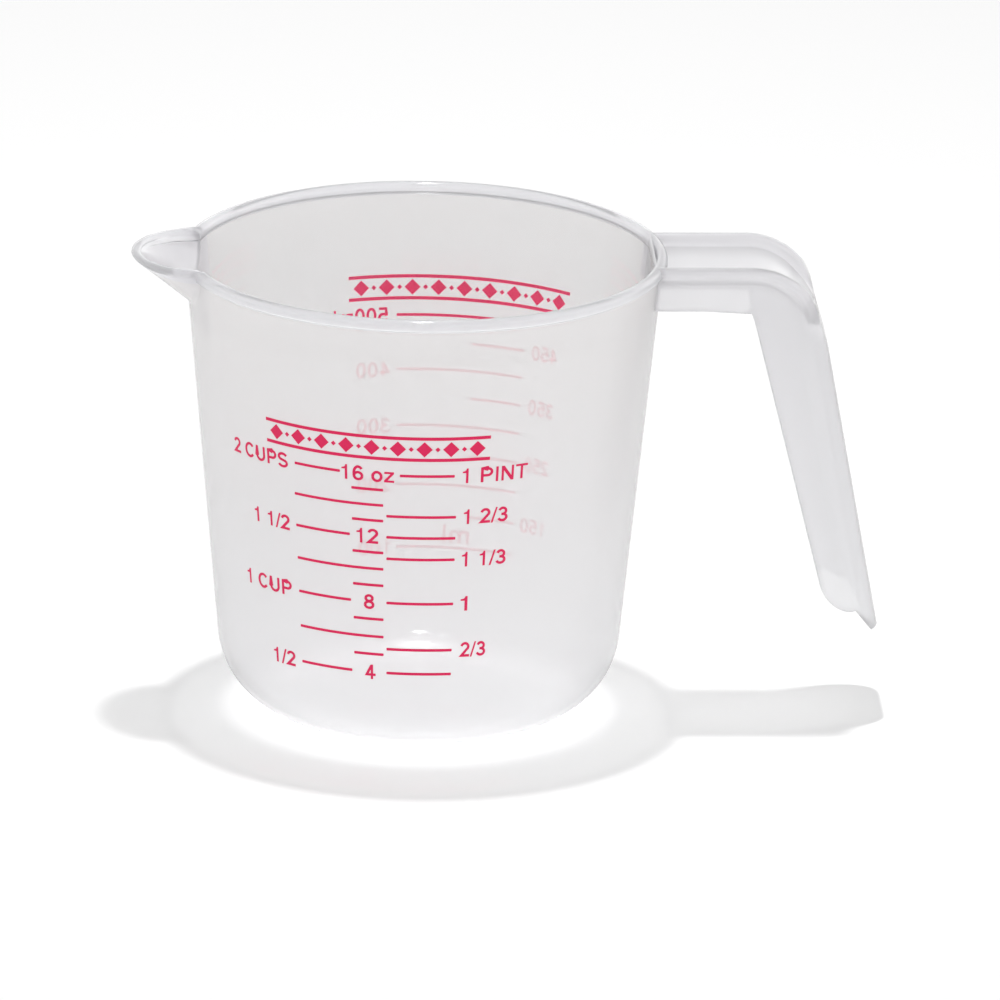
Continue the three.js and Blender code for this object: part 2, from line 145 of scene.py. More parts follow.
class PlasticFinish(bpy.types.PropertyGroup):
    """Natural polypropylene, moulded against a polished tool"""

    # Each skin's tint holds at the rim's height and blends down to the foot's colour at the resting face,
    # so every skin is lighter towards the bottom: painted light standing in for the light the white floor
    # throws up.
    wall_tint: colour("Wall tint", "Of the wall, at the rim", "#eeecec")
    bead_tint: colour("Bead tint", "Of the rim's bead", "#f8f8fb")
    spout_tint: colour("Spout tint", "Of the spout's channel and behind the handle", "#ecebef")
    # Lighter than the wall's tint though it is the same plastic: painted light that lifts the handle's
    # skirts and grip out of the shade the stage's light leaves on them.
    handle_tint_with_painted_light: colour("Handle tint", "Of the handle, at the rim's height", "#f7f6f9")
    # Painted light, not thicker plastic: this lighter colour at the resting face stands in for light from
    # the white floor.
    painted_floor_light_tint: colour("Foot tint", "Of the plastic at the foot, where it is thickest", "#f6f6f8")
    wall_milk: share("Wall milk", "Light scattered at the outside of the walls", 0.74)
    inside_milk: share("Inside milk", "Light scattered at the inside of the walls", 0.04)
    bead_milk: share("Bead milk", "Light scattered by the rim's bead", 0.66)
    through: share("Through", "Part of the scattered light that goes on through", 0.4)
    satin: share("Satin", "Roughness of the outside of the walls", 0.22)
    polish: share("Polish", "Roughness of the inside and of the beads", 0.08)
    clearness: share("Clearness", "Blur of the light that isn't scattered", 0.02)
    ior: number("IOR", "Polypropylene bends light like this", 1.49)
    ripple: length("Ripple", "Width of the moulding's faint waves", 14 * MM)
    ripple_depth: length("Ripple depth", "Height of the waves", 0.02 * MM)
    ripple_strength: share("Ripple strength", "How much the waves show", 0.12)
    wall_cast: share("Wall cast", "Light that the outside of the wall lets through, face on", 0.92)
    inside_cast: share("Inside cast", "Light that the inside of the wall lets through, face on", 0.97)
    bead_cast: share("Bead cast", "Light that the bead lets through, face on", 0.46)
    spout_cast: share("Spout cast", "Light that the spout's channel lets through, face on", 0.3)
    handle_cast: share("Handle cast", "Light that the handle lets through, face on", 0.13)
    wall_edge_cast: share("Wall edge cast", "Light that the wall lets through, edge on", 0.2)
    inside_edge_cast: share("Inside edge cast", "Light that its inside lets through, edge on", 0.8)
    thick_edge_cast: share("Thick edge cast", "The same for bead, spout and handle", 0.06)


class PrintSizes(bpy.types.PropertyGroup):
    """The two printed scales"""

    ink: colour("Ink", "Crimson of a full layer of ink", "#d62457")
    thin_ink: colour("Thin ink", "Where the layer is thinner", "#cc2050")
    # Painted glow: the ink seen through the wall gets a brighter crimson than its own, and with the glow
    # below added it gives back more red than falls on it.
    back_ink_with_painted_glow: colour("Backlit ink", "Seen through the wall", "#ff4680")
    ink_glow: colour("Ink glow", "Light of the surroundings that shines through the ink", "#a82850")
    cast: colour("Cast", "Tint of the light that passes one side of the layer", "#ffdae2")
    cloud: length("Cloud", "Width of the patches where the layer is thinner", 1.2 * MM)
    roughness: share("Roughness", "Of the cured ink", 0.4)
    ior: number("IOR", "Of the cured ink", 1.3)
    film: length("Film", "How far the ink stands out of the wall", 0.06 * MM)
    bite: length("Bite", "How far the ink reaches into the skin", 0.03 * MM)
    figure_height: length("Figure height", "Cap height of the numbers", 3.6 * MM)
    unit_height: length("Unit height", "Of the unit among the millilitre lines", 4.3 * MM)
    blunt_end: share("Blunt end", "Cut off each corner of a line, of half its height", 0.35)
    heading_height: length("Heading height", "Of the ornament above each scale", 6 * MM)
    heading_gap: length("Heading gap", "A scale's top line to the ornament's middle", 6.6 * MM)
    heading_half_angle: angle("Heading half angle", "The ornament to each side of its middle", 30)
    lozenges: bpy.props.IntProperty(name="Lozenges", description="In each ornament", default=9, min=1)
    lozenge_size: share("Lozenge size", "From its middle, of the pitch and the height", 0.31)
    dot_size: share("Dot size", "The same for the dots between", 0.1)
    rule_size: share("Rule size", "Height of a rule, of the ornament's height", 0.13)


class StageLight(bpy.types.PropertyGroup):
    """Floor, lamp and surroundings"""

    lamp_height: length("Lamp height", "Above the floor", 1.15)
    lamp_back: length("Lamp back", "Behind the jug's axis", 0.075)
    lamp_size: length("Lamp size", "Across the lamp", 0.05)
    lamp_power: number("Lamp power", "Watts", 5.5)
    horizon: number("Horizon", "Strength of the light from all round", 1.75)
    ceiling: number("Ceiling", "Strength of the light from straight above", 0.08)
    bright_side: share("Bright side", "How much stronger the light is from the right", 0.12)
    floor_glow: number("Floor glow", "Light that the white sweep adds to what it reflects", 0.135)


# Small helpers

def smoothstep(value):
    t = min(max(value, 0), 1)
    return t * t * (3 - 2 * t)


def mix(a, b, t):
    return a + (b - a) * t


def soft_positive(value, blend):
    """The value where it is positive and 0 where it is negative, with a rounded step between."""
    if value <= -blend:
        return 0
    if value >= blend:
        return value
    return (value + blend) ** 2 / (4 * blend)


def soft_maximum(a, b, radius):
    blend = max(radius - abs(a - b), 0) / radius
    return max(a, b) + blend**2 * radius / 4


def arc(centre, radius, start, end, steps):
    """Points (across, up) on an arc, angles in radians from the across axis."""
    points = []
    for i in range(steps + 1):
        turn = mix(start, end, i / steps)
        points.append((centre[0] + radius * math.cos(turn), centre[1] + radius * math.sin(turn)))
    return points


def around(count):
    """Each place on a closed ring of points, with the next one."""
    return [(i, (i + 1) % count) for i in range(count)]


def new_object(name, mesh):
    piece = bpy.data.objects.new(name, mesh)
    bpy.context.scene.collection.objects.link(piece)
    return piece


def mesh_from(name, points, faces):
    mesh = bpy.data.meshes.new(name)
    mesh.from_pydata(points, [], faces)
    mesh.validate()
    return mesh


def put_on(piece, nodes):
    """The piece rides on the jug's body and stands for these CAD nodes, which are hidden."""
    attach(piece, BODY)
    if nodes:
        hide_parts(*nodes)


# The bowl and its spout

def bead_overhang(b):
    return (b.bead_width - b.wall) / 2


def wall_slope(b):
    return (b.rim_radius - bead_overhang(b) - b.base_radius) / b.height


def corner_centre(b, inset, floor_height):
    """Centre of the rounding between floor and wall: (radius, height), and its own radius."""
    lean = math.atan(wall_slope(b))
    corner = b.corner_radius - inset
    height = floor_height + corner
    radius = b.base_radius + wall_slope(b) * height - b.corner_radius / math.cos(lean)
    return (radius, height), corner


def side_radius(b, height, inset):
    lean = math.atan(wall_slope(b))
    return b.base_radius + wall_slope(b) * height - inset / math.cos(lean)


def wall_radius(b, height):
    """Outside radius of the bowl at a height, without bead and spout."""
    (centre_radius, centre_height), corner = corner_centre(b, 0, 0)
    if height >= centre_height - corner * math.sin(math.atan(wall_slope(b))):
        return side_radius(b, height, 0)
    return centre_radius + math.sqrt(max(corner**2 - (centre_height - height) ** 2, 0))


def lip_reach(b, fraction):
    """How far the lip stands out past the rim in plan. Past the spout's sides it is negative."""
    rest = 1 - fraction**2
    return math.copysign(b.spout_reach * abs(rest) ** b.spout_fullness, rest)


def keel_slope(b):
    """How far the keel comes in for each metre that it comes down."""
    reach = b.rim_radius + b.spout_reach - wall_radius(b, b.height - b.spout_drop)
    return reach / (b.spout_drop - b.lip_round)


def bead_left(b, turn):
    """How much of the bead is left at a turn from the spout's middle, where it has run out."""
    return smoothstep(abs(turn) / b.spout_half_angle)


def lip_crown(b, turn):
    return mix(b.lip_round, b.bead_width / 2, bead_left(b, turn))


def bead_foot(b, turn):
    """Depth below the rim to which the bead, or the thin lip that is left of it, reaches."""
    return mix(2 * b.lip_round, b.bead_height, bead_left(b, turn))


def local_depth(b, turn, depth):
    """The depth below the rim that a row of the bowl has at a turn: in the spout, the rows of the bead
    move up to the thin lip."""
    crown, foot, drop = b.bead_width / 2, b.bead_height, b.spout_drop
    near_crown = lip_crown(b, turn)
    near_foot = bead_foot(b, turn)
    if depth <= crown:
        return depth * near_crown / crown
    if depth <= foot:
        return mix(near_crown, near_foot, (depth - crown) / (foot - crown))
    if depth <= drop:
        return mix(near_foot, drop, (depth - foot) / (drop - foot))
    return depth


def spout_radius(b, turn, depth, flare, inside):
    """Radius of the spout's skin, at a turn from its middle and a depth below the rim: the lip's
    outline, drawn in with depth towards the wall. The inside keeps the wall's thickness."""
    slope = keel_slope(b)
    bead = flare * bead_left(b, turn)
    side_wall = mix(b.wall, b.bead_width, bead) if inside else 0
    keel_wall = mix(b.wall * math.hypot(1, slope), b.bead_width, bead) if inside else 0
    half_angle = b.spout_half_angle - side_wall / b.rim_radius
    draw = slope * max(depth - lip_crown(b, turn), 0)
    return b.rim_radius + lip_reach(b, turn / half_angle) - draw - keel_wall


def spread(start, end, step):
    """Values from start up to, and without, end, at about this step."""
    count = max(round((end - start) / step), 1)
    return [mix(start, end, i / count) for i in range(count)]


# Steps round the spout: from, to and by, in its half angle. They are finest where its sides rise.
SPOUT_STEPS = ((0, 0.88, 0.02), (0.88, 1.1, 0.005), (1.1, 1.3, 0.02))
BOWL_STEP = math.radians(1.5)


def bowl_turns(b):
    """Turns round the axis, from the spout's middle."""
    half = [t * b.spout_half_angle for steps in SPOUT_STEPS for t in spread(*steps)]
    half += spread(SPOUT_STEPS[-1][1] * b.spout_half_angle, math.pi, BOWL_STEP)
    return [-t for t in reversed(half[1:])] + half + [math.pi]


# Steps up the bowl's side, below the spout, in its zone and in the bead, and round foot and rim.
SIDE_STEP, ZONE_STEP, BEAD_STEP = 5 * MM, 0.4 * MM, 0.14 * MM
FOOT_STEPS, RIM_STEPS = 28, 14


def bowl_rows(b):
    """Rows of the bowl's skins from the middle of the underside, over the rim, to the middle of the
    floor. Each row is a function of the turn that gives (radius, height)."""
    slope_angle = math.atan(wall_slope(b))
    spout_zone = b.spout_drop + 2 * b.channel_blend
    overhang = bead_overhang(b)
    crown = b.bead_width / 2

    def plain(radius, height):
        return lambda turn: (radius, height)

    def side(depth, inside):
        flare = smoothstep((b.bead_height - depth) / overhang)
        bead = b.rim_radius - (b.bead_width if inside else 0)

        def place(turn):
            deep = local_depth(b, turn, depth)
            wall = side_radius(b, b.height - deep, b.wall if inside else 0)
            radius = mix(wall, bead, flare)
            swell = spout_radius(b, turn, deep, flare, inside) - radius
            spout = soft_positive(swell, b.channel_blend if inside else b.spout_blend)
            return radius + spout, b.height - deep

        return place

    def over(turned):
        outer, inner = side(crown, False), side(crown, True)

        def place(turn):
            out, across = outer(turn)[0], inner(turn)[0]
            radius = (out + across) / 2 + (out - across) / 2 * math.cos(turned)
            return radius, b.height - lip_crown(b, turn) * (1 - math.sin(turned))

        return place

    def skin(inside):
        inset, floor_height = (b.wall, b.floor) if inside else (0, 0)
        centre, corner = corner_centre(b, inset, floor_height)
        foot = arc(centre, corner, -math.pi / 2, -slope_angle, FOOT_STEPS)
        flat = [plain(centre[0] * f, floor_height) for f in (0.25, 0.5, 0.75)]
        rows = flat + [plain(radius, height) for radius, height in foot]
        heights = spread(foot[-1][1] - b.height, -spout_zone, SIDE_STEP)[1:]
        heights += spread(-spout_zone, -b.bead_height, ZONE_STEP)
        heights += spread(-b.bead_height, -crown, BEAD_STEP)
        return rows + [side(-height, inside) for height in heights]

    outside, inside = skin(False), skin(True)
    rim = [over(math.pi * i / RIM_STEPS) for i in range(RIM_STEPS + 1)]
    return outside + rim + list(reversed(inside)), len(outside) + len(rim) // 2


WALL_SKIN, INSIDE_SKIN, BEAD_SKIN, MILKY_SKIN, HANDLE_SKIN = range(5)
# How far the milky channel and the clear tip reach from the spout's middle, in its half angle.
CHANNEL_REACH, TIP_REACH = 1.2, 0.8


def bowl_skin(b, centre, outside):
    """Which skin a face of the bowl has, by its centre. The plastic is milkier in the spout's channel
    and behind the handle, where it is thicker."""
    turn = math.atan2(centre.y, -centre.x)
    depth = b.height - centre.z
    at_handle = centre.x > 0 and abs(centre.y) < b.root_half_width
    at_spout = abs(turn) < CHANNEL_REACH * b.spout_half_angle
    at_tip = abs(turn) < TIP_REACH * b.spout_half_angle
    if depth < bead_foot(b, turn):
        return MILKY_SKIN if at_handle or at_spout and not at_tip else BEAD_SKIN
    if outside:
        return WALL_SKIN
    in_channel = at_spout and depth < b.spout_drop + b.channel_blend
    at_root = at_handle and depth < b.root_depth
    return MILKY_SKIN if in_channel or at_root else INSIDE_SKIN


def make_bowl(b):
    """The bowl and spout as one closed mesh."""
    turns = bowl_turns(b)[:-1]
    rows, outer_rows = bowl_rows(b)
    count = len(turns)
    points = [(0, 0, 0)]
    for row in rows:
        for turn in turns:
            radius, height = row(turn)
            points.append((-radius * math.cos(turn), radius * math.sin(turn), height))
    top = len(points)
    points.append((0, 0, b.floor))
    faces = [(0, 1 + i, 1 + j) for i, j in around(count)]
    for row in range(len(rows) - 1):
        start = 1 + row * count
        for i, j in around(count):
            faces.append((start + i, start + count + i, start + count + j, start + j))
    last = 1 + (len(rows) - 1) * count
    faces += [(last + i, top, last + j) for i, j in around(count)]
    mesh = mesh_from("bowl_shell", points, faces)
    outer_faces = count * outer_rows
    for face in mesh.polygons:
        face.material_index = bowl_skin(b, face.center, face.index < outer_faces)
    return mesh


# The handle

def handle_path(b, h):
    """The side view's fixed points: the bend's centre and end, the grip's end and its directions."""
    lean = h.lean
    centre = Vector((h.bridge_reach, b.height - h.bend_radius))
    bend_end = centre + h.bend_radius * Vector((math.cos(lean), math.sin(lean)))
    down = Vector((math.sin(lean), -math.cos(lean)))
    inward = Vector((-math.cos(lean), -math.sin(lean)))
    grip_end = bend_end + down * ((bend_end.y - h.end_height) / math.cos(lean))
    return centre, bend_end, grip_end, down, inward


def finger_line(b, h):
    """Two points of the straight line that the grip's skirts end on."""
    _, bend_end, grip_end, _, _ = handle_path(b, h)

    def at(height, depth):
        return Vector((bend_end.x + (bend_end.y - height) * math.tan(h.lean) - depth, height))

    return at(b.height - h.bridge_depth, h.depth_top), at(grip_end.y + h.end_lip, h.depth_end)


def depth_to_line(point, inward, start, end):
    along = end - start
    gap = start - point
    return (gap.x * along.y - gap.y * along.x) / (inward.x * along.y - inward.y * along.x)


# Steps along the bridge, round the bend and down the grip. The first is this far outside the rim.
BRIDGE_STEP, BEND_STEPS, GRIP_STEP = 4 * MM, 44, 3 * MM
FIRST_GAP = 2 * MM


def handle_stations(b, h):
    """Places along the handle's outer path: point, inward normal, depth of the skirts, and how far
    the section has changed from the bridge's (0) to the grip's (1)."""

    def change(run):
        return smoothstep((run - h.bead_end) / h.bead_fade)

    centre, bend_end, grip_end, _, grip_inward = handle_path(b, h)
    start, end = finger_line(b, h)
    down = Vector((0, -1))
    stations = []
    straight = h.bridge_reach - h.bridge_depth
    for x in spread(b.rim_radius + FIRST_GAP, straight, BRIDGE_STEP) + [straight]:
        stations.append((Vector((x, b.height)), down, h.bridge_depth, 0))
    for i in range(BEND_STEPS + 1):
        turned = (math.pi / 2 - h.lean) * i / BEND_STEPS
        inward = Vector((-math.sin(turned), -math.cos(turned)))
        point = centre - inward * h.bend_radius
        to_edge = (point.y - b.height + h.bridge_depth) / math.cos(turned)
        to_line = depth_to_line(point, inward, start, end)
        depth = soft_maximum(to_edge, to_line, h.inner_corner)
        stations.append((point, inward, depth, change(turned * h.bend_radius)))
    bend_run = (math.pi / 2 - h.lean) * h.bend_radius
    grip_length = (grip_end - bend_end).length
    for along in spread(0, grip_length, GRIP_STEP)[1:] + [grip_length]:
        point = bend_end.lerp(grip_end, along / grip_length)
        depth = depth_to_line(point, grip_inward, start, end)
        stations.append((point, grip_inward, depth, change(bend_run + along)))
    return stations


# Points across the flat of a section, from its middle, as shares of the flat.
FLAT_POINTS = (0, 0.4, 0.8, 0.95)
UNDERSIDE_POINTS = (0.8, 0.4, 0)
# Points of a half section that lie outside: flat, fillet, bead, flare, skirt and its edge's corner.
OUTSIDE_POINTS = 4 + 5 + 13 + 5 + 3 + 5
SHARP_ANGLE = math.radians(38)


def skirt_edge(side, inside, depth, edge_round):
    """The skirt's free edge, from its outside to its inside, with both corners rounded."""
    outer = arc((side - edge_round, depth - edge_round), edge_round, 0, math.pi / 2, 4)
    inner = arc((inside + edge_round, depth - edge_round), edge_round, math.pi / 2, math.pi, 4)
    return outer + inner


def bridge_half_section(b, h, depth):
    """(distance from the middle, depth) from the middle of the plate, over the edge bead and round
    the skirt, to the middle of the plate's underside."""
    edge = h.width / 2
    side = edge - bead_overhang(b)
    inside = side - h.wall
    crown = b.bead_width / 2
    foot = edge - b.bead_width
    under = h.plate_sink + h.wall
    fillet = h.plate_fillet
    plate_end = foot - fillet
    section = [(plate_end * f, h.plate_sink) for f in FLAT_POINTS]
    section += arc((plate_end, h.plate_sink - fillet), fillet, math.pi / 2, 0, 4)
    rise = min(max((crown - h.plate_sink + fillet) / crown, 0), 1)
    start = math.pi + math.asin(rise)
    section += arc((foot + crown, crown), crown, start, 2 * math.pi, 12)
    for i in range(1, 6):
        t = i / 5
        section.append((mix(edge, side, smoothstep(t)), mix(crown, b.bead_height, t)))
    section += [(side, mix(b.bead_height, depth - h.edge_round, i / 4)) for i in (1, 2, 3)]
    section += skirt_edge(side, inside, depth, h.edge_round)
    section += [(inside, mix(depth - h.edge_round, under + crown, i / 4)) for i in (1, 2, 3)]
    section += arc((inside - crown, under + crown), crown, 0, -math.pi / 2, 8)
    section += [((inside - crown) * f, under) for f in UNDERSIDE_POINTS]
    return section


def grip_half_section(b, h, depth):
    """The grip's section, with as many points as the bridge's."""
    side = h.width / 2 - bead_overhang(b)
    inside = side - h.wall
    radius = h.edge_radius
    centre = (side - radius, radius)
    section = [(centre[0] * f, 0) for f in FLAT_POINTS]
    section += arc(centre, radius, -math.pi / 2, 0, 22)
    section += [(side, mix(radius, depth - h.edge_round, i / 4)) for i in (1, 2, 3)]
    section += skirt_edge(side, inside, depth, h.edge_round)
    section += [(inside, mix(depth - h.edge_round, radius, i / 4)) for i in (1, 2, 3)]
    section += arc(centre, radius - h.wall, 0, -math.pi / 2, 8)
    section += [(centre[0] * f, h.wall) for f in UNDERSIDE_POINTS]
    return section


def make_handle(b, h):
    """The handle as one closed mesh that starts inside the bowl's wall."""
    rings = []
    for point, inward, depth, change in handle_stations(b, h):
        bridge = bridge_half_section(b, h, depth)
        grip = grip_half_section(b, h, depth)
        half = [(mix(p[0], q[0], change), mix(p[1], q[1], change)) for p, q in zip(bridge, grip)]
        loop = half + [(-across, deep) for across, deep in reversed(half[1:-1])]
        rings.append([(point.x + inward.x * d, y, point.y + inward.y * d) for y, d in loop])
    mid_wall = b.wall / 2
    root = []
    for x, y, z in rings[0]:
        radius = side_radius(b, z, mid_wall)
        root.append((math.sqrt(radius**2 - y**2), y, z))
    rings.insert(0, root)
    count = len(root)
    points = [point for ring in rings for point in ring]
    faces = []
    for ring in range(len(rings) - 1):
        start = ring * count
        for i, j in around(count):
            faces.append((start + i, start + j, start + count + j, start + count + i))
    last = (len(rings) - 1) * count
    half = count // 2
    for start, flip in ((0, True), (last, False)):
        for i in range(half):
            a, c = start + i, start + i + 1
            d, e = start + (count - i) % count, start + (count - i - 1) % count
            cap = tuple(dict.fromkeys((a, c, e, d)))
            faces.append(cap if flip else tuple(reversed(cap)))
    mesh = mesh_from("handle_shell", points, faces)
    loops = count * (len(rings) - 1)
    for face in mesh.polygons:
        place = face.index % count
        outer = place < OUTSIDE_POINTS or place >= count - OUTSIDE_POINTS
        face.material_index = HANDLE_SKIN if outer or face.index >= loops else INSIDE_SKIN
    return mesh


def grip_end_cutter(b, h):
    """What is cut away below the skirts, as a prism across the handle. The grip's lip stays."""
    _, _, grip_end, down, inward = handle_path(b, h)
    start, end = finger_line(b, h)

    def at(up, depth):
        return grip_end - down * up + inward * depth

    side_depth = depth_to_line(at(h.end_lip + h.skirt_end_radius, 0), inward, start, end)
    far = 2 * h.depth_end
    outline = [at(-h.end_lip, h.wall), at(0, h.wall), at(h.end_lip, h.end_lip_depth)]
    for i in range(1, 17):
        turn = math.pi / 2 * i / 16
        up = h.end_lip + h.skirt_end_radius * (1 - math.cos(turn))
        outline.append(at(up, mix(h.end_lip_depth, side_depth, math.sin(turn))))
    outline += [at(h.end_lip + h.skirt_end_radius, far), at(-h.end_lip, far)]
    count = len(outline)
    points = [(p.x, y, p.y) for y in (-h.width, h.width) for p in outline]
    faces = [tuple(range(count)), tuple(reversed(range(count, 2 * count)))]
    faces += [(i, count + i, count + j, j) for i, j in around(count)]
    return mesh_from("grip_end_cutter", points, faces)


def face_outwards(mesh):
    shape = bmesh.new()
    shape.from_mesh(mesh)
    bmesh.ops.remove_doubles(shape, verts=shape.verts, dist=1e-7)
    bmesh.ops.recalc_face_normals(shape, faces=shape.faces)
    shape.to_mesh(mesh)
    shape.free()


def combined(mesh, other, operation, name):
    """The result of a boolean between two closed meshes."""
    body, tool = new_object(name, mesh), new_object(name + "_tool", other)
    modifier = body.modifiers.new("combine", "BOOLEAN")
    modifier.operation = operation
    modifier.solver = "EXACT"
    modifier.object = tool
    bpy.context.view_layer.update()
    depsgraph = bpy.context.evaluated_depsgraph_get()
    result = bpy.data.meshes.new_from_object(body.evaluated_get(depsgraph))
    result.name = name
    bpy.data.objects.remove(body)
    bpy.data.objects.remove(tool)
    return result


# Prints

def slab_from_outlines(outlines):
    """A flat slab, out 0 to 1, over closed outlines in a plane."""
    shape = bmesh.new()
    for outline in outlines:
        low = [shape.verts.new((x, y, 0)) for x, y in outline]
        high = [shape.verts.new((x, y, 1)) for x, y in outline]
        shape.faces.new(list(reversed(low)))
        shape.faces.new(high)
        for i, j in around(len(outline)):
            shape.faces.new((low[i], low[j], high[j], high[i]))
    return shape


# Figures and letters of a plain grotesque, with cap height 1, as (advance, outlines). STROKE is half
# the width of their strokes.
STROKE = 0.086


def oval(x, y, across, up, start, end):
    """Points on an oval round (x, y), angles in degrees."""
    steps = max(round(abs(end - start) / 15), 2)
    turns = [math.radians(mix(start, end, i / steps)) for i in range(steps + 1)]
    return [(x + across * math.cos(turn), y + up * math.sin(turn)) for turn in turns]


def stroke(*path):
    """The outline of a stroke along a path, mitred at its corners and cut square at its ends."""
    points = [Vector(point) for point in path]
    left, right = [], []
    for i, point in enumerate(points):
        runs = [points[j + 1] - points[j] for j in (i - 1, i) if 0 <= j < len(points) - 1]
        normals = [Vector((-run.y, run.x)).normalized() for run in runs]
        across = sum(normals, Vector((0, 0))) / len(normals)
        step = across * STROKE / across.length_squared
        left.append(tuple(point + step))
        right.append(tuple(point - step))
    return left + right[::-1]


def ring(x, y, across, up):
    return [stroke(*oval(x, y, across, up, start, start + 180)) for start in (0, 180)]


def bar(low, high, top=1):
    return [(low, 0), (high, 0), (high, top), (low, top)]


GLYPHS = {
    " ": (0.387, []),
    "/": (0.387, [[(-0.02, -0.02), (0.1, -0.02), (0.41, 1.02), (0.29, 1.02)]]),
    "0": (0.775, ring(0.387, 0.5, 0.25, 0.43)),
    "1": (0.775, [[(0.34, 0), (0.49, 0), (0.49, 1), (0.38, 1), (0.34, 0.88), (0.27, 0.82), (0.13, 0.79),
                   (0.13, 0.69), (0.34, 0.69)]]),
    "2": (0.775, [stroke(*oval(0.375, 0.7, 0.245, 0.225, 172, -32), (0.12, 0.078), (0.7, 0.078))]),
    "3": (0.775, [stroke(*oval(0.375, 0.715, 0.225, 0.207, 165, -90)),
                  stroke((0.29, 0.51), *oval(0.375, 0.293, 0.265, 0.217, 90, -165))]),
    "4": (0.775, [bar(0.4, 0.55), stroke((0.45, 0.94), (0.13, 0.31), (0.72, 0.31))]),
    "5": (0.775, [stroke((0.655, 0.922), (0.205, 0.922), (0.14, 0.46)),
                  stroke(*oval(0.37, 0.325, 0.262, 0.247, 145, -165))]),
    "6": (0.775, [*ring(0.39, 0.31, 0.25, 0.235),
                  stroke(*oval(0.4, 0.52, 0.265, 0.41, 38, 180), (0.135, 0.31))]),
    "8": (0.775, [*ring(0.387, 0.735, 0.215, 0.19), *ring(0.387, 0.29, 0.255, 0.215)]),
    "C": (1.005, [stroke(*oval(0.5, 0.5, 0.36, 0.43, 38, 322))]),
    "I": (0.387, [bar(0.13, 0.285)]),
    "N": (1.005, [bar(0.106, 0.25), bar(0.752, 0.896),
                  [(0.106, 1), (0.106, 0.9), (0.72, 0), (0.896, 0), (0.896, 0.1), (0.282, 1)]]),
    "P": (0.929, [stroke((0.188, 0), (0.188, 0.922), (0.53, 0.922),
                         *oval(0.53, 0.69, 0.26, 0.232, 90, -90), (0.188, 0.458))]),
    "S": (0.929, [stroke(*oval(0.46, 0.72, 0.3, 0.21, 20, 235),
                         *oval(0.465, 0.285, 0.315, 0.215, 55, -165))]),
    "T": (0.851, [bar(0.35, 0.5), [(0.03, 0.86), (0.82, 0.86), (0.82, 1), (0.03, 1)]]),
    "U": (1.005, [stroke((0.188, 1), (0.188, 0.37), *oval(0.5, 0.37, 0.312, 0.3, 180, 360), (0.812, 1))]),
    "l": (0.309, [bar(0.09, 0.24)]),
    "m": (1.16, [bar(0.09, 0.246, 0.73), stroke(*oval(0.374, 0.44, 0.206, 0.215, 170, 0), (0.58, 0)),
                 stroke(*oval(0.786, 0.44, 0.206, 0.215, 170, 0), (0.992, 0))]),
    "o": (0.775, ring(0.387, 0.365, 0.26, 0.3)),
    "z": (0.696, [[(0.04, 0), (0.655, 0), (0.655, 0.14), (0.26, 0.14), (0.645, 0.6), (0.645, 0.72),
                   (0.06, 0.72), (0.06, 0.58), (0.43, 0.58), (0.04, 0.12)]]),
}


def set_line(words, width, cap):
    """Outlines of the words, centred on (0, 0), this wide and with this cap height."""
    outlines = []
    cursor = 0
    for letter in words:
        advance, shapes = GLYPHS[letter]
        outlines += [[(cursor + x, y) for x, y in shape] for shape in shapes]
        cursor += advance
    low = min(x for outline in outlines for x, _ in outline)
    natural = max(x for outline in outlines for x, _ in outline) - low
    return [[(((x - low) / natural - 0.5) * width, (y - 0.5) * cap) for x, y in o] for o in outlines]


# Bands of ink bend with the wall in steps of this width.
BAND_STEP = 1 * MM


def add_band(shape, columns):
    """Adds a slab along the columns (across, low, high), with a face for each step, so that it bends
    with the wall."""
    rails = []
    for across, low, high in columns:
        corners = ((low, 0), (high, 0), (high, 1), (low, 1))
        rails.append([shape.verts.new((across, up, out)) for up, out in corners])
    for before, after in zip(rails, rails[1:]):
        for i, j in around(4):
            shape.faces.new((before[i], before[j], after[j], after[i]))
    shape.faces.new(list(reversed(rails[0])))
    shape.faces.new(rails[-1])


# A face looks into the wall where its normal, along the way outwards, is below this.
INTO_WALL = -0.7


def print_piece(scene, name, shape, azimuth, height, nodes=()):
    """A flat slab (across, up, out) laid on the wall round an azimuth and a height, as a piece of its
    own. Its faces that look into the wall have the second ink, the brighter one with a painted glow."""
    b, sizes = scene.jug_bowl, scene.jug_print
    bmesh.ops.recalc_face_normals(shape, faces=shape.faces)
    middle_radius = wall_radius(b, height)
    for vertex in shape.verts:
        across, up, out = vertex.co
        turn = azimuth + across / middle_radius
        reach = wall_radius(b, height + up) + mix(-sizes.bite, sizes.film, out)
        vertex.co = (reach * math.cos(turn), reach * math.sin(turn), height + up)
    shape.normal_update()
    for face in shape.faces:
        outwards = face.calc_center_median().to_2d().normalized()
        face.material_index = int(face.normal.to_2d().dot(outwards) < INTO_WALL)
    mesh = bpy.data.meshes.new(name)
    shape.to_mesh(mesh)
    shape.free()
    for material in inks(scene):
        mesh.materials.append(material)
    put_on(new_object(name, mesh), nodes)


def print_label(scene, name, words, degrees, height, millimetres, cap):
    """Words centred on an azimuth and a height, this wide and with this cap height."""
    shape = slab_from_outlines(set_line(words, millimetres * MM, cap))
    print_piece(scene, name, shape, math.radians(degrees), height)


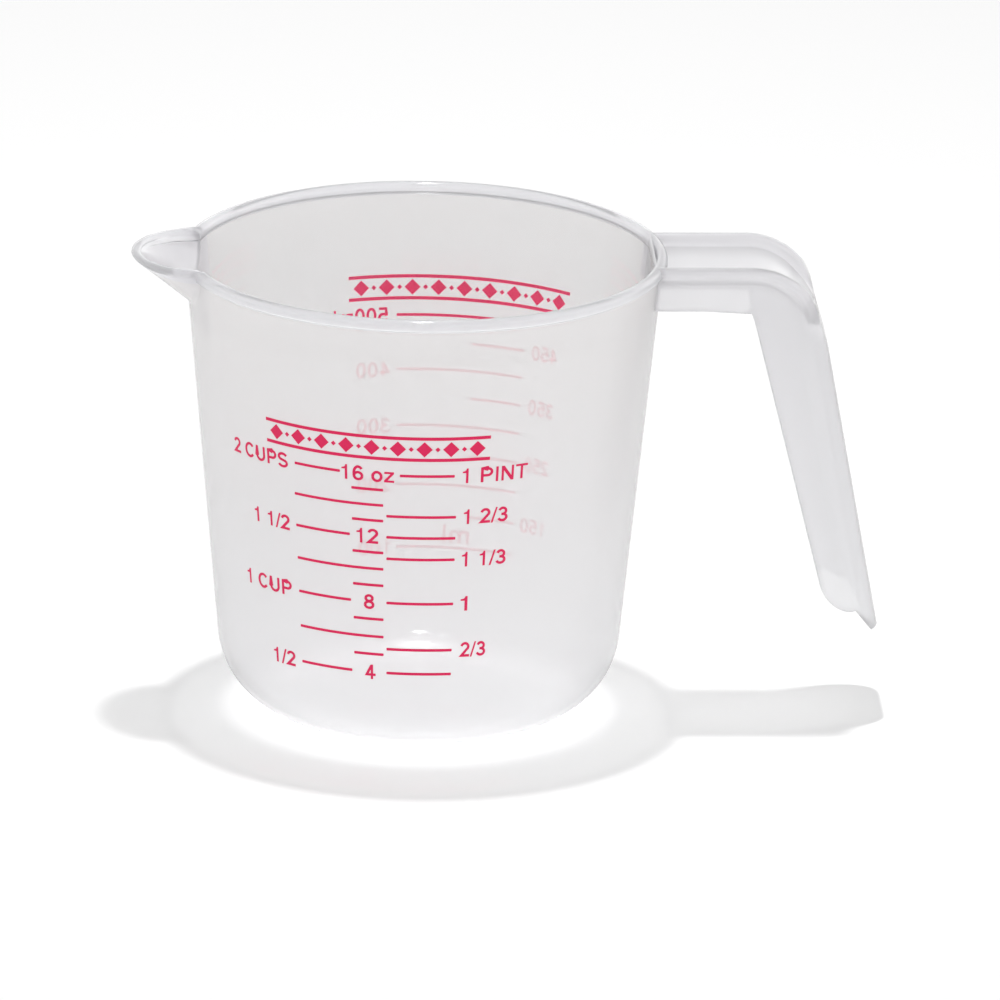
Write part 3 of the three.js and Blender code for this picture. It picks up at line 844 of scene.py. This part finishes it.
def print_line(scene, name):
    """The line of ink that stands for one CAD line: as long and as wide, on the wall itself."""
    corners = [vertex.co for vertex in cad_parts[name].data.vertices]
    middle = sum(corners, Vector()) / len(corners)
    centre = math.atan2(middle.y, middle.x)
    turns = [math.remainder(math.atan2(p.y, p.x) - centre, 2 * math.pi) for p in corners]
    low, high = min(p.z for p in corners), max(p.z for p in corners)
    level, half = (low + high) / 2, (high - low) / 2
    radius = wall_radius(scene.jug_bowl, level)
    start, end = min(turns) * radius, max(turns) * radius
    blunt = scene.jug_print.blunt_end * half
    tip = half - blunt
    steps = spread(start + blunt, end - blunt, BAND_STEP) + [end - blunt]
    shape = bmesh.new()
    add_band(shape, [(start, -tip, tip)] + [(x, -half, half) for x in steps] + [(end, -tip, tip)])
    print_piece(scene, "ink_" + name, shape, centre, level, [name])


def print_ornament(scene, name, degrees, height):
    """A plain band of lozenges and dots between two rules."""
    sizes = scene.jug_print
    band = sizes.heading_height
    half = sizes.heading_half_angle * wall_radius(scene.jug_bowl, height)
    pitch = 2 * half / sizes.lozenges
    outlines = []
    for i in range(2 * sizes.lozenges - 1):
        size = sizes.dot_size if i % 2 else sizes.lozenge_size
        x, across, up = -half + pitch * (i + 1) / 2, size * pitch, size * band
        outlines.append([(x - across, 0), (x, -up), (x + across, 0), (x, up)])
    shape = slab_from_outlines(outlines)
    rule = sizes.rule_size * band
    steps = spread(-half, half, BAND_STEP) + [half]
    for low in (-band / 2, band / 2 - rule):
        add_band(shape, [(x, low, low + rule) for x in steps])
    print_piece(scene, name, shape, math.radians(degrees), height)


# Materials

# The colour sockets of a Mix node, which shares their names with its other sockets.
MIX_FROM, MIX_TO, MIXED = 6, 7, 2


def node(tree, kind, inputs=None, **settings):
    """Adds a node with its settings. Each input, by name or number, gets a value, or a link from an
    output or from the first output of a node."""
    made = tree.nodes.new(kind)
    for key, value in settings.items():
        setattr(made, key, value)
    for key, value in (inputs or {}).items():
        if isinstance(value, bpy.types.Node):
            value = value.outputs[0]
        if isinstance(value, bpy.types.NodeSocket):
            tree.links.new(value, made.inputs[key])
        else:
            made.inputs[key].default_value = value
    return made


def new_material(name):
    material = bpy.data.materials.new(name)
    material.use_nodes = True
    material.node_tree.nodes.clear()
    return material, material.node_tree


def plastic_skin(scene, name, tint, milkiness, roughness, face_cast, edge_cast):
    """Natural polypropylene, injection moulded: a glossy skin over a milky wall, which scatters part
    of the light and lets the rest through unblurred, with faint waves from the flow of the melt."""
    finish = scene.jug_plastic
    material, tree = new_material(name)
    place = node(tree, "ShaderNodeNewGeometry").outputs["Position"]
    waves = {"Vector": place, "Scale": 1 / finish.ripple, "Detail": 1.0}
    swells = {
        "Height": node(tree, "ShaderNodeTexNoise", waves).outputs["Fac"],
        "Strength": finish.ripple_strength,
        "Distance": finish.ripple_depth,
    }
    normal = node(tree, "ShaderNodeBump", swells)
    # Painted light: the tint runs from the foot's lighter colour at the resting face to the skin's own at
    # the rim's height, for the light from the white floor.
    level = node(tree, "ShaderNodeSeparateXYZ", {"Vector": place}).outputs["Z"]
    rise = node(tree, "ShaderNodeMapRange", {"Value": level, "From Max": scene.jug_bowl.height})
    tints_with_painted_floor_light = {0: rise, MIX_FROM: (*finish.painted_floor_light_tint, 1), MIX_TO: (*tint, 1)}
    shade = node(tree, "ShaderNodeMix", tints_with_painted_floor_light, data_type="RGBA").outputs[MIXED]
    back = node(tree, "ShaderNodeBsdfDiffuse", {"Color": shade})
    through = node(tree, "ShaderNodeBsdfTranslucent", {"Color": shade})
    milk = node(tree, "ShaderNodeMixShader", {0: finish.through, 1: back, 2: through})
    bent = {"IOR": finish.ior, "Roughness": finish.clearness, "Normal": normal}
    clear = node(tree, "ShaderNodeBsdfRefraction", bent)
    body = node(tree, "ShaderNodeMixShader", {0: milkiness, 1: clear, 2: milk})
    gloss = node(tree, "ShaderNodeBsdfGlossy", {"Roughness": roughness, "Normal": normal})
    mirror = node(tree, "ShaderNodeFresnel", {"IOR": finish.ior})
    skin = node(tree, "ShaderNodeMixShader", {0: mirror, 1: body, 2: gloss})
    facing = node(tree, "ShaderNodeLayerWeight", {"Blend": 0.5}).outputs["Facing"]
    casts = {"Value": facing, "To Min": face_cast, "To Max": edge_cast}
    cast_shadow(tree, skin, node(tree, "ShaderNodeMapRange", casts))
    return material


def plastic_skins(scene):
    """The five finishes of the moulding, in the order of the skins' numbers."""
    f = scene.jug_plastic
    tint, milk, polish, edge = f.wall_tint, f.wall_milk, f.polish, f.thick_edge_cast
    rows = (
        ("satin_polypropylene_wall", tint, milk, f.satin, f.wall_cast, f.wall_edge_cast),
        ("polished_polypropylene_inside", tint, f.inside_milk, polish, f.inside_cast, f.inside_edge_cast),
        ("polished_polypropylene_bead", f.bead_tint, f.bead_milk, polish, f.bead_cast, edge),
        ("milky_polypropylene", f.spout_tint, milk, polish, f.spout_cast, edge),
        ("satin_polypropylene_handle", f.handle_tint_with_painted_light, milk, f.satin, f.handle_cast, edge),
    )
    return [plastic_skin(scene, *row) for row in rows]


def cast_shadow(tree, surface, tint):
    """Gives a material its output. To the light, the surface is see-through with this tint."""
    clear = node(tree, "ShaderNodeBsdfTransparent", {"Color": tint})
    path = node(tree, "ShaderNodeLightPath").outputs["Is Shadow Ray"]
    lit = node(tree, "ShaderNodeMixShader", {0: path, 1: surface, 2: clear})
    node(tree, "ShaderNodeOutputMaterial", {"Surface": lit})


def ink_material(scene):
    """Pad-printed crimson ink, cured to a semi-gloss film: thin enough for its colour to cloud a
    little where the layer is lighter."""
    sizes = scene.jug_print
    material, tree = new_material("printed_crimson_ink")
    place = node(tree, "ShaderNodeNewGeometry").outputs["Position"]
    clouds = node(tree, "ShaderNodeTexNoise", {"Vector": place, "Scale": 1 / sizes.cloud, "Detail": 2.0})
    layers = {0: clouds.outputs["Fac"], MIX_FROM: (*sizes.ink, 1), MIX_TO: (*sizes.thin_ink, 1)}
    layer = node(tree, "ShaderNodeMix", layers, data_type="RGBA").outputs[MIXED]
    film = {"Base Color": layer, "Roughness": sizes.roughness, "IOR": sizes.ior}
    cast_shadow(tree, node(tree, "ShaderNodeBsdfPrincipled", film), (*sizes.cast, 1))
    return material


def glowing_back_ink_material(scene):
    """The same ink from behind, where it bonds with the plastic: light that comes through the thin
    film adds to what it scatters back. Its colour is brighter than the ink's own, and together they
    give back more red than falls on the ink: partly real through-light, partly painted glow."""
    sizes = scene.jug_print
    material, tree = new_material("crimson_ink_from_behind")
    back = node(tree, "ShaderNodeBsdfDiffuse", {"Color": (*sizes.back_ink_with_painted_glow, 1)})
    through = node(tree, "ShaderNodeBsdfTranslucent", {"Color": (*sizes.ink_glow, 1)})
    cast_shadow(tree, node(tree, "ShaderNodeAddShader", {0: back, 1: through}), (*sizes.cast, 1))
    return material


def inks(scene):
    """Both faces of the ink, made once."""
    made = bpy.data.materials
    if "printed_crimson_ink" in made:
        return made["printed_crimson_ink"], made["crimson_ink_from_behind"]
    return ink_material(scene), glowing_back_ink_material(scene)


# Operators

class JUG_OT_moulding(bpy.types.Operator):
    """Moulds the bowl, the spout and the handle as one piece of polypropylene"""

    bl_idname = "jug.moulding"
    bl_label = "Moulding"

    def execute(self, context):
        scene = context.scene
        b, h = scene.jug_bowl, scene.jug_handle
        bowl = make_bowl(b)
        handle = make_handle(b, h)
        cutter = grip_end_cutter(b, h)
        for mesh in (bowl, handle, cutter):
            face_outwards(mesh)
        materials = plastic_skins(scene)
        for mesh in (bowl, handle):
            for material in materials:
                mesh.materials.append(material)
        cutter.materials.append(materials[HANDLE_SKIN])
        handle = combined(handle, cutter, "DIFFERENCE", "handle_shell")
        moulding = combined(bowl, handle, "UNION", "moulding")
        moulding.shade_smooth()
        moulding.set_sharp_from_angle(angle=SHARP_ANGLE)
        piece = new_object("moulding", moulding)
        put_on(piece, ["bowl", "pouring_spout", "handle"])
        return {"FINISHED"}


class JUG_OT_scale_lines(bpy.types.Operator):
    """Prints every line of both scales on the wall"""

    bl_idname = "jug.scale_lines"
    bl_label = "Scale Lines"

    def execute(self, context):
        for name in sorted(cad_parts):
            if name.startswith("line_"):
                print_line(context.scene, name)
        return {"FINISHED"}


# The middles of the scales, in degrees round the axis. A label's row gives its words, its own degrees
# and its width in millimetres.
OUNCE_AZIMUTH = -105.2
MILLILITRE_AZIMUTH = 76.9
# The unit's width in millimetres, and how far its middle lies below the middle between two lines.
UNIT_WIDTH = 6.45
UNIT_DROP = 0.5 * MM


def line_height(name):
    low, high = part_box(name)
    return (low.z + high.z) / 2


class JUG_OT_ounce_figures(bpy.types.Operator):
    """Prints the figures of the ounce and cup scale"""

    bl_idname = "jug.ounce_figures"
    bl_label = "Ounce and Cup Figures"

    def execute(self, context):
        scene = context.scene
        cap = scene.jug_print.figure_height
        rows = (
            ("ounces_16", "16 oz", "16_oz_left", -106.3, 12.4),
            ("ounces_12", "12", "12_oz_left", -106.5, 5.1),
            ("ounces_8", "8", "8_oz_left", -106.2, 2.5),
            ("ounces_4", "4", "4_oz_left", -106.1, 2.6),
            ("cups_2", "2 CUPS", "16_oz_left", -138.8, 18.2),
            ("cups_1_half", "1 1/2", "12_oz_left", -135.3, 10.9),
            ("cup_1_left", "1 CUP", "8_oz_left", -138.0, 14.6),
            ("cup_half", "1/2", "4_oz_left", -133.3, 6.5),
            ("pint_1", "1 PINT", "16_oz_right", -73.4, 15.7),
            ("cups_1_two_thirds", "1 2/3", "5_thirds_cup", -75.5, 10.5),
            ("cups_1_third", "1 1/3", "4_thirds_cup", -75.5, 10.5),
            ("cup_1_right", "1", "8_oz_right", -80.5, 1.6),
            ("cup_two_thirds", "2/3", "2_thirds_cup", -77.7, 6.3),
        )
        for name, words, beside, degrees, width in rows:
            print_label(scene, name, words, degrees, line_height("line_" + beside), width, cap)
        return {"FINISHED"}


class JUG_OT_millilitre_figures(bpy.types.Operator):
    """Prints the figures of the millilitre scale"""

    bl_idname = "jug.millilitre_figures"
    bl_label = "Millilitre Figures"

    def execute(self, context):
        scene = context.scene
        cap = scene.jug_print.figure_height
        rows = (
            (500, "500ml", 103.8, 13.4),
            (400, "400", 100.7, 8.5),
            (300, "300", 100.7, 8.4),
            (200, "200", 100.7, 8.3),
            (100, "100", 100.7, 7.9),
            (450, "450", 53.0, 7.4),
            (350, "350", 53.0, 7.4),
            (250, "250", 53.0, 7.3),
            (150, "150", 53.0, 7.1),
        )
        for volume, words, degrees, width in rows:
            height = line_height(f"line_{volume}_ml")
            print_label(scene, f"millilitres_{volume}", words, degrees, height, width, cap)
        between = (line_height("line_150_ml") + line_height("line_100_ml")) / 2
        unit = (MILLILITRE_AZIMUTH, between - UNIT_DROP, UNIT_WIDTH, scene.jug_print.unit_height)
        print_label(scene, "millilitre_unit", "ml", *unit)
        return {"FINISHED"}


class JUG_OT_ornaments(bpy.types.Operator):
    """Prints a plain band of ornament above each scale"""

    bl_idname = "jug.ornaments"
    bl_label = "Ornaments"

    def execute(self, context):
        scene = context.scene
        gap = scene.jug_print.heading_gap
        front = line_height("line_16_oz_right") + gap
        back = line_height("line_500_ml") + gap
        print_ornament(scene, "ornament_front", OUNCE_AZIMUTH, front)
        print_ornament(scene, "ornament_back", MILLILITRE_AZIMUTH, back)
        return {"FINISHED"}


# The camera stands where the photograph's stood: far off, a little above, with a long lens.
CAMERA_TURN = math.radians(3)
CAMERA_ELEVATION = math.radians(18.05)
CAMERA_ROLL = math.radians(1)
CAMERA_DISTANCE = 3.36
CAMERA_TARGET = Vector((0.01834, -0.00096, 0.04973))
PICTURE_SPAN = 0.2313
SENSOR_WIDTH = 36
CLIP_END = 20

FLOOR_REACH = 4
# Heights in the sky, 0 level and 1 straight up, between which its light falls off.
SKY_LOW, SKY_HIGH = 0.15, 0.95


class JUG_OT_stage(bpy.types.Operator):
    """Lays the floor, hangs the lamp and sets up the surroundings and the camera"""

    bl_idname = "jug.stage"
    bl_label = "Stage"

    def execute(self, context):
        scene = context.scene
        light = scene.jug_stage
        self.lay_floor(light)
        self.hang_lamp(light)
        self.paint_room(scene, light)
        self.set_camera(scene)
        scene.view_settings.view_transform = "Standard"
        return {"FINISHED"}

    def lay_floor(self, light):
        """A sweep of matt white paper. A little light of its own lifts it to full white."""
        sides = ((-1, -1), (1, -1), (1, 1), (-1, 1))
        corners = [(FLOOR_REACH * x, FLOOR_REACH * y, 0) for x, y in sides]
        floor = new_object("floor", mesh_from("floor", corners, [(0, 1, 2, 3)]))
        material, tree = new_material("white_sweep")
        paper = node(tree, "ShaderNodeBsdfDiffuse", {"Color": (*linear("#eeeeee"), 1)})
        glow = node(tree, "ShaderNodeEmission", {"Strength": light.floor_glow})
        total = node(tree, "ShaderNodeAddShader", {0: paper, 1: glow})
        node(tree, "ShaderNodeOutputMaterial", {"Surface": total})
        floor.data.materials.append(material)

    def hang_lamp(self, light):
        data = bpy.data.lights.new("overhead_lamp", "AREA")
        data.shape = "DISK"
        data.size = light.lamp_size
        data.energy = light.lamp_power
        lamp = bpy.data.objects.new("overhead_lamp", data)
        lamp.location = (0, light.lamp_back, light.lamp_height)
        bpy.context.scene.collection.objects.link(lamp)

    def paint_room(self, scene, light):
        world = bpy.data.worlds.new("white_room")
        world.use_nodes = True
        tree = world.node_tree
        tree.nodes.clear()
        sky = node(tree, "ShaderNodeTexCoord").outputs["Generated"]
        split = node(tree, "ShaderNodeSeparateXYZ", {"Vector": sky})
        heights = {"From Min": SKY_LOW, "From Max": SKY_HIGH}
        levels = {**heights, "To Min": light.horizon, "To Max": light.ceiling}
        shade = node(tree, "ShaderNodeMapRange", {"Value": split.outputs["Z"], **levels})
        sides = {"From Min": -1.0, "To Min": 1 - light.bright_side, "To Max": 1 + light.bright_side}
        side = node(tree, "ShaderNodeMapRange", {"Value": split.outputs["X"], **sides})
        sided = node(tree, "ShaderNodeMath", {0: shade, 1: side}, operation="MULTIPLY")
        path = node(tree, "ShaderNodeLightPath").outputs["Is Camera Ray"]
        strength = node(tree, "ShaderNodeMix", {"Factor": path, "A": sided, "B": 1.0})
        room = node(tree, "ShaderNodeBackground", {"Color": (1, 1, 1, 1), "Strength": strength})
        node(tree, "ShaderNodeOutputWorld", {"Surface": room})
        scene.world = world

    def set_camera(self, scene):
        data = bpy.data.cameras.new("camera")
        data.sensor_width = SENSOR_WIDTH
        data.lens = data.sensor_width * CAMERA_DISTANCE / PICTURE_SPAN
        data.clip_end = CLIP_END
        camera = bpy.data.objects.new("camera", data)
        level = math.cos(CAMERA_ELEVATION)
        ahead = (level * math.sin(CAMERA_TURN), level * math.cos(CAMERA_TURN), -math.sin(CAMERA_ELEVATION))
        forward = Vector(ahead)
        camera.location = CAMERA_TARGET - forward * CAMERA_DISTANCE
        camera.rotation_euler = forward.to_track_quat("-Z", "Y").to_matrix().to_euler()
        camera.rotation_euler.rotate_axis("Z", CAMERA_ROLL)
        scene.collection.objects.link(camera)
        scene.camera = camera


class JUG_PT_panel(bpy.types.Panel):
    """Lists the jug's pieces in the order in which they are made"""

    bl_idname = "JUG_PT_panel"
    bl_label = "Measuring Jug"
    bl_space_type = "VIEW_3D"
    bl_region_type = "UI"
    bl_category = "Measuring Jug"

    def draw(self, context):
        for operator in OPERATORS:
            self.layout.operator(operator.bl_idname)
        for name in SETTINGS:
            box = self.layout.box()
            group = getattr(context.scene, name)
            for key in group.__annotations__:
                box.prop(group, key)


SETTINGS = {
    "jug_bowl": BowlSizes,
    "jug_handle": HandleSizes,
    "jug_plastic": PlasticFinish,
    "jug_print": PrintSizes,
    "jug_stage": StageLight,
}
OPERATORS = (
    JUG_OT_moulding,
    JUG_OT_scale_lines,
    JUG_OT_ounce_figures,
    JUG_OT_millilitre_figures,
    JUG_OT_ornaments,
    JUG_OT_stage,
)


def register():
    for made in (*SETTINGS.values(), *OPERATORS, JUG_PT_panel):
        bpy.utils.register_class(made)
    for name, group in SETTINGS.items():
        setattr(bpy.types.Scene, name, bpy.props.PointerProperty(type=group))


def unregister():
    for name in SETTINGS:
        delattr(bpy.types.Scene, name)
    for made in reversed((*SETTINGS.values(), *OPERATORS, JUG_PT_panel)):
        bpy.utils.unregister_class(made)


def main():
    register()
    bpy.ops.jug.moulding()
    bpy.ops.jug.scale_lines()
    bpy.ops.jug.ounce_figures()
    bpy.ops.jug.millilitre_figures()
    bpy.ops.jug.ornaments()
    bpy.ops.jug.stage()


if __name__ == "__main__":
    main()
